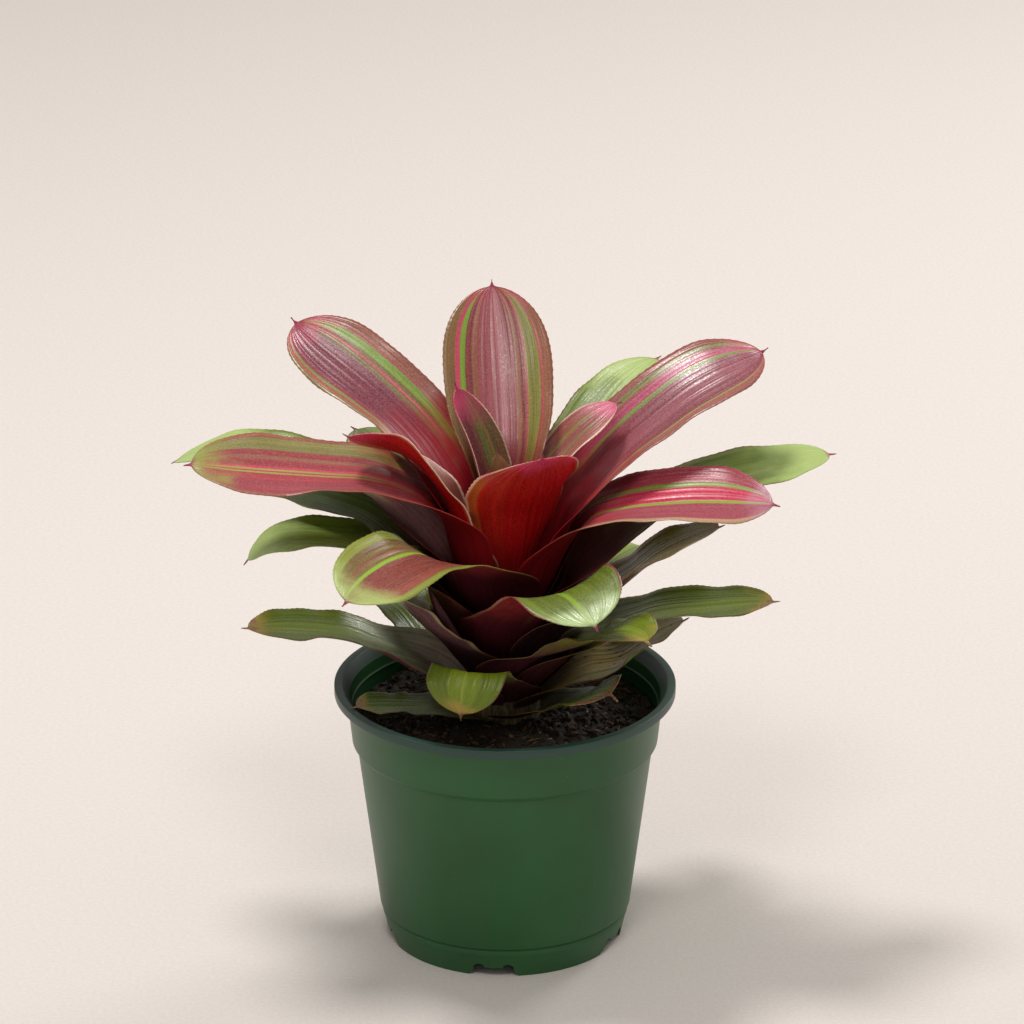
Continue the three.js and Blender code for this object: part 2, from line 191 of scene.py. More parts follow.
def pot_profile():
    """The section of the wall and floor, from the axis under the floor round to the axis above it."""
    band_bottom = POT_HEIGHT - BAND_HEIGHT
    body_top = band_bottom - LEDGE
    lip_bottom = POT_HEIGHT - LIP_HEIGHT
    inner_lip = LIP_RADIUS - LIP_WIDTH
    ridge = POT_HEIGHT - RIDGE_DROP
    rise = (ridge - band_bottom) / (lip_bottom - band_bottom)
    ridge_radius = BAND_BOTTOM + (BAND_TOP - BAND_BOTTOM) * rise
    return [
        (0, FLOOR_UNDER), (FOOT_RADIUS - WALL - 1, FLOOR_UNDER), (FOOT_RADIUS - WALL - 1, 0),
        (FOOT_RADIUS, 0), (FOOT_TOP_RADIUS - 0.5, 11.4), (FOOT_TOP_RADIUS - 0.1, 11.7),
        (FOOT_TOP_RADIUS, FOOT_HEIGHT - 2 * GROOVE), (BODY_BOTTOM - 2 * GROOVE, FOOT_HEIGHT - GROOVE),
        (BODY_BOTTOM, FOOT_HEIGHT), (BODY_TOP, body_top), (BAND_BOTTOM, band_bottom),
        (BAND_TOP, lip_bottom), (LIP_RADIUS, lip_bottom), (LIP_RADIUS, POT_HEIGHT),
        (inner_lip, POT_HEIGHT), (BAND_TOP - WALL, lip_bottom - 1.2),
        (ridge_radius - WALL, ridge + 0.9), (ridge_radius - WALL - 0.7, ridge),
        (ridge_radius - WALL - 0.1, ridge - 0.9), (BAND_BOTTOM - WALL, band_bottom),
        (BODY_TOP - WALL, body_top), (BODY_BOTTOM - WALL - CORNER, FLOOR_TOP), (0, FLOOR_TOP),
    ]


def slot_cutter(turn):
    """A flared slot with a tab in its top, through the foot's wall, and the drain hole above it."""
    cutter = bmesh.new()
    top, tab = SLOT_TOP / 2, TAB_WIDTH / 2
    bottom = SLOT_BOTTOM / 2
    below = 2  # how far the cutter reaches past the surface that the pot stands on
    outline = [
        (bottom + below, -below), (bottom - 1.6, 0.4), (top + 0.6, 2), (top, SLOT_HEIGHT / 2),
        (top - 0.4, 5.4), (top - TAB_DROP, SLOT_HEIGHT), (tab, SLOT_HEIGHT),
        (tab - 1, SLOT_HEIGHT - TAB_DROP),
    ]
    outline += [(-x, z) for x, z in reversed(outline)]
    reach = FOOT_RADIUS * 0.4
    face = cutter.faces.new([
        cutter.verts.new(Vector((FOOT_RADIUS - reach / 2, x, z)) * MM) for x, z in outline])
    wall = bmesh.ops.extrude_face_region(cutter, geom=[face])
    moved = [v for v in wall["geom"] if isinstance(v, bmesh.types.BMVert)]
    bmesh.ops.translate(cutter, verts=moved, vec=(reach * MM, 0, 0))
    middle = (FLOOR_UNDER + FLOOR_TOP) / 2 * MM
    bmesh.ops.create_cone(
        cutter, cap_ends=True, segments=32, radius1=DRAIN_RADIUS * MM, radius2=DRAIN_RADIUS * MM,
        depth=5 * MM, matrix=Matrix.Translation((DRAIN_RING * MM, 0, middle)))
    bmesh.ops.rotate(cutter, verts=cutter.verts, matrix=Matrix.Rotation(math.radians(turn), 3, "Z"))
    bmesh.ops.recalc_face_normals(cutter, faces=cutter.faces)
    return piece("slot_cutter", cutter, [])


def turned(profile, steps):
    """A closed shape spun about the Z axis from (radius, height) points in millimetres."""
    mesh = bmesh.new()
    points = [mesh.verts.new(Vector((r, 0, z)) * MM) for r, z in profile]
    line = [mesh.edges.new(pair) for pair in zip(points, points[1:])]
    bmesh.ops.spin(
        mesh, geom=points + line, axis=(0, 0, 1), cent=(0, 0, 0), steps=steps, angle=math.tau,
        use_merge=True)
    bmesh.ops.remove_doubles(mesh, verts=mesh.verts, dist=1e-6)
    bmesh.ops.recalc_face_normals(mesh, faces=mesh.faces)
    return mesh


def nursery_pot():
    mesh = turned(pot_profile(), POT_STEPS)
    corners = [
        e for e in mesh.edges if len(e.link_faces) == 2 and e.calc_face_angle(0) > math.radians(20)]
    bmesh.ops.bevel(
        mesh, geom=corners, offset=EDGE_ROUNDING * MM, segments=3, profile=0.5, affect="EDGES",
        material=-1, clamp_overlap=True)
    made = piece("nursery_pot", mesh, [moulded_polypropylene()])
    cutters = [slot_cutter(FIRST_SLOT + 360 / SLOTS * i) for i in range(SLOTS)]
    for cutter in cutters:
        cut = made.modifiers.new("slot", "BOOLEAN")
        cut.operation, cut.solver, cut.object = "DIFFERENCE", "EXACT", cutter
    shape = bpy.data.meshes.new_from_object(made.evaluated_get(bpy.context.evaluated_depsgraph_get()))
    made.modifiers.clear()
    for cutter in cutters:
        bpy.data.meshes.remove(cutter.data)
    tidy = bmesh.new()
    tidy.from_mesh(shape)
    sharpen(tidy)
    tidy.to_mesh(made.data)
    tidy.free()
    bpy.data.meshes.remove(shape)
    return made


pot = nursery_pot()
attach(pot, "root")
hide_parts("pot")


# ---------------------------------------------------------------- potting soil
# Potting soil is milled peat with bark fibres and a little perlite, poured in and pressed by hand.
# Its top is rough and crumbly, dark brown, nearly black where it is damp.

SOIL_TOP = 112.0
SOIL_MOUND = 5.0
SOIL_CLEARANCE = 0.3
SOCKET_RADIUS = 17.8
SOCKET_DEPTH = 24.0
SOIL_STEPS = 220
SOIL_RINGS = 64
LUMP_HEIGHT = 2.4
LUMP_PER_MM = 0.09
CRUMB_HEIGHT = 1.1
CRUMB_PER_MM = 0.42
CRUMBS = 1500
BARK_BITS = 320
PERLITE_BITS = 40
FIBRES = 110
HANDFUL = 40  # bits that are made together


def damp_peat(name, dark, light, rough):
    """Milled peat, damp: near-black crumbs with brown ones among them, and no shine."""
    made, tree = material(name)
    place = add(tree, "ShaderNodeTexCoord").outputs["Object"]
    grain = add(tree, "ShaderNodeTexNoise", {
        "Vector": place, "Scale": 1 / (1.6 * MM), "Detail": 6.0, "Roughness": 0.7})
    colour = add(tree, "ShaderNodeValToRGB", {"Fac": grain.outputs["Fac"]},
                 stops=[(0.36, linear(dark)), (0.72, linear(light))])
    bump = add(tree, "ShaderNodeBump", {
        "Height": grain.outputs["Fac"], "Strength": 0.8, "Distance": 0.5 * MM})
    shader = add(tree, "ShaderNodeBsdfPrincipled", {
        "Base Color": colour.outputs["Color"], "Roughness": rough, "Normal": bump.outputs[0]})
    finish_material(tree, shader)
    return made


def soil_height(x, y):
    """Height of the soil's top in millimetres at a place: a low mound with lumps and crumbs."""
    radius = math.hypot(x, y)
    mound = SOIL_MOUND * max(0.0, 1 - radius / (BAND_BOTTOM - WALL)) ** 1.2
    lumps = LUMP_HEIGHT * noise.fractal(Vector((x, y, 0)) * LUMP_PER_MM, 1.0, 2.0, 3)
    crumbs = CRUMB_HEIGHT * noise.fractal(Vector((x, y, 40)) * CRUMB_PER_MM, 0.9, 2.0, 3)
    return SOIL_TOP + mound + lumps + crumbs


def scatter(mesh, count, size, stretch, material_index, chance, subdivisions=1):
    """Drops small irregular bits of a size in millimetres on the soil, each half sunk in it, a
    handful at a time. A stretched bit is a splinter or a fibre."""
    outer = BAND_BOTTOM - WALL - 2
    for handful in range(0, count, HANDFUL):
        bits = bmesh.new()
        for _ in range(min(HANDFUL, count - handful)):
            radius = math.sqrt(chance.uniform((SOCKET_RADIUS + 1) ** 2, outer ** 2))
            angle = chance.uniform(0, math.tau)
            x, y = radius * math.cos(angle), radius * math.sin(angle)
            grown = size * chance.uniform(0.5, 1.5)
            tilt = Matrix.Rotation(chance.uniform(-0.5, 0.5), 4, "Y")
            turn = Matrix.Rotation(angle * 5, 4, "Z") @ tilt
            height, depth = grown * chance.uniform(0.4, 0.9), grown * chance.uniform(0.6, 1)
            shape = Matrix.Diagonal((grown * stretch, depth, height, 1))
            spot = Matrix.Translation(Vector((x, y, soil_height(x, y) + 0.15 * grown)) * MM)
            bit = bmesh.ops.create_icosphere(
                bits, subdivisions=subdivisions, radius=MM, matrix=spot @ turn @ shape)
            for vert in bit["verts"]:
                vert.co += noise.random_vector() * (0.12 * grown * MM)
        for face in bits.faces:
            face.material_index = material_index
        loose = bpy.data.meshes.new("bits")
        bits.to_mesh(loose)
        bits.free()
        mesh.from_mesh(loose)
        bpy.data.meshes.remove(loose)


def potting_soil():
    inner = BODY_TOP - WALL - SOIL_CLEARANCE
    bottom = FLOOR_TOP + SOIL_CLEARANCE
    top_radius = BAND_BOTTOM + 0.6 - WALL - SOIL_CLEARANCE
    profile = [
        (0, bottom), (BODY_BOTTOM - WALL - CORNER - SOIL_CLEARANCE, bottom),
        (inner, POT_HEIGHT - BAND_HEIGHT - LEDGE), (top_radius, SOIL_TOP - 3)]
    for i in range(SOIL_RINGS + 1):
        profile.append((top_radius + (SOCKET_RADIUS - top_radius) * i / SOIL_RINGS, SOIL_TOP))
    profile += [(SOCKET_RADIUS, SOIL_TOP - SOCKET_DEPTH), (0, SOIL_TOP - SOCKET_DEPTH)]
    mesh = turned(profile, SOIL_STEPS)
    for vert in mesh.verts:
        if abs(vert.co.z - SOIL_TOP * MM) < 1e-6:
            vert.co.z = soil_height(vert.co.x / MM, vert.co.y / MM) * MM
    chance = random.Random(7)
    noise.seed_set(7)
    scatter(mesh, CRUMBS, 1.0, 1.2, 0, chance)
    scatter(mesh, BARK_BITS, 1.0, 2.2, 1, chance)
    scatter(mesh, PERLITE_BITS, 0.7, 1.1, 2, chance, subdivisions=2)
    scatter(mesh, FIBRES, 0.3, 12, 3, chance)
    return piece("milled_peat", mesh, [
        damp_peat("damp_milled_peat", "0c0905", "38260f", 0.9),
        damp_peat("shredded_bark", "2e1e0e", "7a5832", 0.8),
        damp_peat("expanded_perlite", "8a7a62", "d8ccb4", 0.8),
        damp_peat("peat_fibre", "4a3a24", "a08a62", 0.7),
    ])


soil = potting_soil()
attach(soil, "root")
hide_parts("soil")


# ---------------------------------------------------------------- stem
# The stem is the plant's short woody core, as thick as a thumb, rooted in the soil. The bases of the
# leaves hide it, so only a ring of brown, fibrous bark shows between the lowest ones.


def fibrous_bark():
    """Old leaf scars and dry fibre: matt brown with darker rings a few millimetres apart."""
    made, tree = material("fibrous_stem_bark")
    place = add(tree, "ShaderNodeTexCoord").outputs["Object"]
    squash = add(tree, "ShaderNodeMapping", {"Vector": place, "Scale": (1, 1, 0.25)})
    fibre = add(tree, "ShaderNodeTexNoise", {
        "Vector": squash.outputs[0], "Scale": 1 / (1.2 * MM), "Detail": 5.0})
    colour = add(tree, "ShaderNodeValToRGB", {"Fac": fibre.outputs["Fac"]},
                 stops=[(0.3, linear("2e2416")), (0.7, linear("7a6844"))])
    bump = add(tree, "ShaderNodeBump", {
        "Height": fibre.outputs["Fac"], "Strength": 0.7, "Distance": 0.3 * MM})
    shader = add(tree, "ShaderNodeBsdfPrincipled", {
        "Base Color": colour.outputs["Color"], "Roughness": 0.85, "Normal": bump.outputs[0]})
    finish_material(tree, shader)
    return made


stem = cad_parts["stem"]
stem.data.materials.clear()
stem.data.materials.append(fibrous_bark())


# ---------------------------------------------------------------- leaves
# The leaves are living straps a little under a millimetre thick, stiff and waxy, with fine lengthwise
# ribs, small teeth along the margins and a thorn at the tip. Each grows from the stem as a sheath.

BLADE_THICKNESS = 0.8
SHEATH_SHARE = 0.62  # thickness of a sheath and of a margin, as shares of the blade's
MARGIN_SHARE = 0.45
BLADE_RING = 5  # the CAD leaf's ring where the sheath has become a blade
TIP_RING = 7  # the ring where the rounded tip starts
COLUMNS = 26
ROWS = 132
CROWD = 1.35  # how much closer the rows lie towards the tip
THORN_LENGTH = 3.6
THORN_WIDTH = 2.4
TOOTH = 0.25  # how far each stands out from the margin
TOOTH_EVERY = 3  # rows
GROOVE_DEPTH = 0.35  # along the midrib, on the upper face
WAVES = (19, 23, 47)  # of the left margin, the right margin and both, along a leaf
RIBS = 70  # fine ribs across a blade about 45 mm wide, one every 0.65 mm
PLEATS = 17  # soft pleats across it, one every 2.7 mm
BAND_DRIFT = 0.022  # how far a band of colour strays, as a share of the width
FEATHER = 0.007  # half the blur between two bands
SCALE_SIZE = 0.9  # the pale scales of the skin
CLOUD_SIZE = 14.0


def spline_weights(knots, places):
    """For each place, the share that each knot's value has in a smooth curve through them all."""
    knots = np.asarray(knots, float)
    places = np.clip(places, knots[0], knots[-1])
    count = len(knots)
    slopes = np.zeros((count, count))
    for i in range(count):
        before, after = max(i - 1, 0), min(i + 1, count - 1)
        slopes[i, after] += 1 / (knots[after] - knots[before])
        slopes[i, before] -= 1 / (knots[after] - knots[before])
    cell = np.clip(np.searchsorted(knots, places, side="right") - 1, 0, count - 2)
    gap = knots[cell + 1] - knots[cell]
    s = (places - knots[cell]) / gap
    row = np.arange(len(places))
    weights = np.zeros((len(places), count))
    weights[row, cell] += 2 * s ** 3 - 3 * s ** 2 + 1
    weights[row, cell + 1] += 3 * s ** 2 - 2 * s ** 3
    weights += ((s ** 3 - 2 * s ** 2 + s) * gap)[:, None] * slopes[cell]
    weights += ((s ** 3 - s ** 2) * gap)[:, None] * slopes[cell + 1]
    return weights


def leaf_rings(node):
    """The CAD leaf's rings of points from its base to its tip, each from one margin to the other and
    back underneath, and the point of the tip."""
    mesh = bmesh.new()
    mesh.from_mesh(node.data)
    bmesh.ops.remove_doubles(mesh, verts=mesh.verts, dist=1e-6)
    pole = max(mesh.verts, key=lambda v: len(v.link_edges))
    near = {v: {e.other_vert(v) for e in v.link_edges} for v in mesh.verts}
    following = {}
    for face in pole.link_faces:
        turn = list(face.verts).index(pole)
        following[face.verts[turn - 2]] = face.verts[turn - 1]
    ring = [next(iter(following))]
    while len(ring) < len(following):
        ring.append(following[ring[-1]])
    rings = [ring]
    seen = {pole, *ring}
    while len(seen) < len(mesh.verts):
        partners = ring[1:] + ring[:1]
        ring = [(near[a] & near[b] - seen).pop() for a, b in zip(ring, partners)]
        rings.append(ring)
        seen |= set(ring)
    points = [np.array([v.co[:] for v in ring]) / MM for ring in rings]
    tip = np.array(pole.co[:]) / MM
    mesh.free()
    return points[::-1], tip


def leaf_net(node):
    """The middle surface of a CAD leaf: rows of points from margin to margin, and the tip."""
    rings, tip = leaf_rings(node)
    half = len(rings[0]) // 2
    sample = rings[BLADE_RING]

    def margins(start):
        """The thickness of both margins, if the upper face starts at a point of the ring."""
        near = sample[start] - sample[start - 1]
        far = sample[start + half] - sample[start + half - 1]
        return np.linalg.norm(near) + np.linalg.norm(far)

    short = min(range(half), key=margins)
    net = []
    for ring in rings:
        turned = np.roll(ring, -short, axis=0)
        net.append([turned[:half], turned[half:][::-1]])
    # The upper face of a sheath looks at the stem.
    middle = half // 2
    base_out = net[0][0].mean(0) * (1, 1, 0)
    if np.dot(net[0][0][middle] - net[0][1][middle], base_out) > 0:
        net = [[lower, upper] for upper, lower in net]
    rows = np.array([(upper + lower) / 2 for upper, lower in net])
    blade = BLADE_RING + 1
    ahead = rows[blade + 1][middle] - rows[blade - 1][middle]
    up = net[blade][0][middle] - net[blade][1][middle]
    if np.dot(np.cross(rows[blade][-1] - rows[blade][0], ahead), up) < 0:
        rows = rows[:, ::-1]
    return rows, tip


def leaf_surface(node, hook, ripple, seed):
    """Fine rows of points of a leaf, in millimetres, and each row's share of the length."""
    net, tip = leaf_net(node)
    middle = net.shape[1] // 2
    spine = np.vstack([net[:, middle], tip])
    run = np.concatenate([[0], np.cumsum(np.linalg.norm(np.diff(spine, axis=0), axis=1))])
    length = run[-1]
    knots = run / length
    halves = np.linalg.norm(np.diff(net, axis=1), axis=2).sum(1) / 2
    spread = (net - net[:, middle:middle + 1]) / halves[:, None, None]
    share = 1 - (1 - np.linspace(0, 1, ROWS + 1)) ** CROWD
    # The width is the CAD leaf's up to the tip, then a round end that a thorn grows out of.
    start = knots[TIP_RING]
    full = halves[TIP_RING]
    thorn = THORN_LENGTH / (length * (1 - start))
    zone = np.clip((share - start) / (1 - start), 0, 1)
    rounded = np.clip(1 - (zone / (1 - thorn)) ** 2.6, 0, 1) ** 0.58
    point = THORN_WIDTH / full * np.clip((1 - zone) / (1.6 * thorn), 0, 1) ** 1.5 * (zone > 0)
    below = slice(TIP_RING + 1)
    width = np.where(
        share < start,
        spline_weights(knots[below], np.minimum(share, start)) @ halves[below],
        full * (rounded ** 3 + point ** 3) ** (1 / 3))
    across = np.linspace(-1, 1, COLUMNS + 1)
    along_weights = spline_weights(knots[:-1], share)
    across_weights = spline_weights(np.linspace(-1, 1, net.shape[1]), across)
    centre = spline_weights(knots, share) @ spine
    shape = np.einsum("ni,mk,ikc->nmc", along_weights, across_weights, spread)
    surface = centre[:, None] + width[:, None, None] * shape
    normal = np.cross(np.gradient(surface, axis=1), np.gradient(surface, axis=0))
    normal /= np.maximum(np.linalg.norm(normal, axis=2, keepdims=True), 1e-9)
    normal[-4:] = normal[-5:-4]
    # The margins wave, the midrib is a groove, and the tip hooks.
    chance = random.Random(seed)
    first, second, both = [
        np.sin(share * wave + chance.uniform(0, math.tau))[:, None] for wave in WAVES]
    waves = (
        first * np.clip(across, 0, 1) ** 3 + second * np.clip(-across, 0, 1) ** 3
        + 0.4 * both * np.abs(across) ** 5)
    blade = np.clip((share - 0.3) / 0.2, 0, 1)[:, None] * np.clip((1 - share) / 0.12, 0, 1)[:, None]
    groove = -GROOVE_DEPTH * np.exp(-(across / 0.07) ** 2)[None, :]
    curl = hook * np.clip((zone - 0.8) / 0.2, 0, 1) ** 2
    lift = blade * (ripple * waves + groove) + curl[:, None]
    surface = surface + normal * lift[:, :, None]
    # Small teeth stand out along both margins.
    for side, inner in ((0, 1), (-1, -2)):
        out = surface[:, side] - surface[:, inner]
        out /= np.maximum(np.linalg.norm(out, axis=1, keepdims=True), 1e-9)
        toothed = (np.arange(ROWS + 1) % TOOTH_EVERY == 0) & (share > 0.35) & (share < 0.97)
        surface[:, side] += out * (TOOTH * toothed)[:, None]
    return surface, share


def leaf_blade(name, hook, ripple, seed, upper, lower):
    """A fine leaf on the CAD leaf's middle surface, with its two faces and its thickness."""
    surface, share = leaf_surface(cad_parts[name], hook, ripple, seed)
    mesh = bmesh.new()
    uv = mesh.loops.layers.uv.new("UVMap")
    bmesh.ops.create_grid(mesh, x_segments=COLUMNS, y_segments=ROWS, size=1)
    weight = mesh.verts.layers.deform.new()
    place = {}
    for vert in mesh.verts:
        column = round((vert.co.x + 1) / 2 * COLUMNS)
        row = round((vert.co.y + 1) / 2 * ROWS)
        place[vert] = (column / COLUMNS, share[row])
        edge = abs(2 * column / COLUMNS - 1)
        sheath = SHEATH_SHARE + (1 - SHEATH_SHARE) * min(1, max(0, (share[row] - 0.2) / 0.3))
        thorn = min(1, (1 - share[row]) / 0.03 + MARGIN_SHARE)
        vert[weight][0] = min(thorn, sheath + (MARGIN_SHARE - sheath) * edge ** 2)
        vert.co = Vector(surface[row, column]) * MM
    for face in mesh.faces:
        for loop in face.loops:
            loop[uv].uv = place[loop.vert]
    made = piece(name + "_blade", mesh, [upper, lower])
    made.vertex_groups.new(name="thickness")
    solid = made.modifiers.new("thickness", "SOLIDIFY")
    solid.thickness = BLADE_THICKNESS * MM
    solid.offset = 0
    solid.vertex_group = "thickness"
    solid.material_offset = 1
    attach(made, "root")
    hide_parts(name)
    return made


def leaf_skin(name, bands, base, tip, base_reach=0.35, tip_reach=0.85, streak=0.25, speckle=0.2,
              dots=0.0, dry=None, rough=0.3, glow=0.1):
    """Living leaf skin, waxed, from lengthwise bands of colour: [(colour, share of the width where
    the band ends), ...]. The bands pass into the sheath's colour at the base and the tip's at the tip.
    Fine ribs and pale scales break up the gloss, and the sheath is dull. dots: strength of the brown
    spots of age. dry: share of the length where the tip turns papery and brown."""
    made, tree = material(name)
    uv = add(tree, "ShaderNodeUVMap", uv_map="UVMap").outputs[0]
    place = add(tree, "ShaderNodeTexCoord").outputs["Object"]
    split = add(tree, "ShaderNodeSeparateXYZ", {"Vector": uv})
    long = add(tree, "ShaderNodeMapping", {"Vector": uv, "Scale": (3, 2.5, 1)})
    drift = add(tree, "ShaderNodeTexNoise", {"Vector": long.outputs[0], "Scale": 2.0, "Detail": 2.0})
    shift = add(tree, "ShaderNodeMapRange", {
        "Value": drift.outputs["Fac"], "To Min": -BAND_DRIFT, "To Max": BAND_DRIFT})
    across = add(tree, "ShaderNodeMath", {0: split.outputs["X"], 1: shift.outputs[0]})
    stops = [(0.0, linear(bands[0][0]))]
    for (colour, end), (following, _) in zip(bands, bands[1:]):
        stops += [(end - FEATHER, linear(colour)), (end + FEATHER, linear(following))]
    blade = add(tree, "ShaderNodeValToRGB", {"Fac": across.outputs[0]}, stops=stops)
    fine = add(tree, "ShaderNodeMapping", {"Vector": uv, "Scale": (RIBS, 2.2, 1)})
    ribs = add(tree, "ShaderNodeTexNoise", {"Vector": fine.outputs[0], "Scale": 1.0, "Detail": 3.0})
    wide = add(tree, "ShaderNodeMapping", {"Vector": uv, "Scale": (PLEATS, 1.1, 1)})
    pleats = add(tree, "ShaderNodeTexNoise", {"Vector": wide.outputs[0], "Scale": 1.0, "Detail": 1.0})
    shade = add(tree, "ShaderNodeMapRange", {
        "Value": ribs.outputs["Fac"], "From Min": 0.3, "From Max": 0.7,
        "To Min": 1 - streak, "To Max": 1 + streak})
    grain = add(tree, "ShaderNodeTexNoise", {
        "Vector": place, "Scale": 1 / (SCALE_SIZE * MM), "Detail": 3.0})
    cloud = add(tree, "ShaderNodeTexNoise", {
        "Vector": place, "Scale": 1 / (CLOUD_SIZE * MM), "Detail": 3.0})
    toned = add(tree, "ShaderNodeHueSaturation", {
        "Color": blade.outputs["Color"], "Value": shade.outputs[0]})
    scale_mask = add(tree, "ShaderNodeMapRange", {
        "Value": grain.outputs["Fac"], "From Min": 0.5, "From Max": 0.72, "To Max": speckle})
    scaled = add(tree, "ShaderNodeMix", {
        0: scale_mask.outputs[0], 6: toned.outputs[0], 7: linear("a89468")}, data_type="RGBA")
    wander = add(tree, "ShaderNodeMath", {0: cloud.outputs["Fac"], 1: 0.5}, operation="SUBTRACT")
    along = add(tree, "ShaderNodeMath", {0: wander.outputs[0], 1: 0.22, 2: split.outputs["Y"]},
                operation="MULTIPLY_ADD")
    low = add(tree, "ShaderNodeMapRange", {
        "Value": along.outputs[0], "From Min": base_reach + 0.22, "From Max": base_reach - 0.1},
        interpolation_type="SMOOTHSTEP")
    sheath = add(tree, "ShaderNodeHueSaturation", {"Color": linear(base), "Value": shade.outputs[0]})
    rooted = add(tree, "ShaderNodeMix", {
        0: low.outputs[0], 6: scaled.outputs[2], 7: sheath.outputs[0]}, data_type="RGBA")
    high = add(tree, "ShaderNodeMapRange", {
        "Value": along.outputs[0], "From Min": tip_reach - 0.05, "From Max": tip_reach + 0.1},
        interpolation_type="SMOOTHSTEP")
    tipped = add(tree, "ShaderNodeMix", {
        0: high.outputs[0], 6: rooted.outputs[2], 7: linear(tip)}, data_type="RGBA")
    thorn = add(tree, "ShaderNodeMapRange", {
        "Value": split.outputs["Y"], "From Min": 0.97, "From Max": 0.985})
    colour = add(tree, "ShaderNodeMix", {
        0: thorn.outputs[0], 6: tipped.outputs[2], 7: linear("9c3050")}, data_type="RGBA")
    if dots:
        spots = add(tree, "ShaderNodeTexVoronoi", {"Vector": place, "Scale": 1 / (5 * MM)})
        spot = add(tree, "ShaderNodeMapRange", {
            "Value": spots.outputs["Distance"], "From Min": 0.24, "From Max": 0.15, "To Max": dots})
        colour = add(tree, "ShaderNodeMix", {
            0: spot.outputs[0], 6: colour.outputs[2], 7: linear("3a2a14")}, data_type="RGBA")
    if dry:
        ragged = add(tree, "ShaderNodeMath", {0: wander.outputs[0], 1: 0.3, 2: split.outputs["Y"]},
                     operation="MULTIPLY_ADD")
        yellowed = add(tree, "ShaderNodeMapRange", {
            "Value": ragged.outputs[0], "From Min": dry - 0.06, "From Max": dry})
        colour = add(tree, "ShaderNodeMix", {
            0: yellowed.outputs[0], 6: colour.outputs[2], 7: linear("a8913c")}, data_type="RGBA")
        papery = add(tree, "ShaderNodeMapRange", {
            "Value": ragged.outputs[0], "From Min": dry, "From Max": dry + 0.012})
        brown = add(tree, "ShaderNodeValToRGB", {"Fac": grain.outputs["Fac"]},
                    stops=[(0.3, linear("7a4a2c")), (0.75, linear("c39a70"))])
        colour = add(tree, "ShaderNodeMix", {
            0: papery.outputs[0], 6: colour.outputs[2], 7: brown.outputs[0]}, data_type="RGBA")
    rib_bump = add(tree, "ShaderNodeBump", {
        "Height": ribs.outputs["Fac"], "Strength": 0.35, "Distance": 0.22 * MM})
    pleat_bump = add(tree, "ShaderNodeBump", {
        "Height": pleats.outputs["Fac"], "Strength": 0.8, "Distance": 0.9 * MM,
        "Normal": rib_bump.outputs[0]})
    scale_bump = add(tree, "ShaderNodeBump", {
        "Height": grain.outputs["Fac"], "Strength": 0.35, "Distance": 0.12 * MM,
        "Normal": pleat_bump.outputs[0]})
    gloss = add(tree, "ShaderNodeMapRange", {
        "Value": grain.outputs["Fac"], "From Min": 0.3, "From Max": 0.7,
        "To Min": rough - 0.08, "To Max": rough + 0.16})
    scurf = add(tree, "ShaderNodeMath", {0: low.outputs[0], 1: 0.35, 2: gloss.outputs[0]},
                operation="MULTIPLY_ADD")
    wax = add(tree, "ShaderNodeMapRange", {"Value": low.outputs[0], "To Min": 0.55, "To Max": 0.15})
    shader = add(tree, "ShaderNodeBsdfPrincipled", {
        "Base Color": colour.outputs[2], "Roughness": scurf.outputs[0], "IOR": 1.45,
        "Specular IOR Level": wax.outputs[0],
        "Subsurface Weight": glow, "Subsurface Radius": (1.6, 0.5, 0.25), "Subsurface Scale": 1 * MM,
        "Normal": scale_bump.outputs[0]})
    finish_material(tree, shader)
    return made


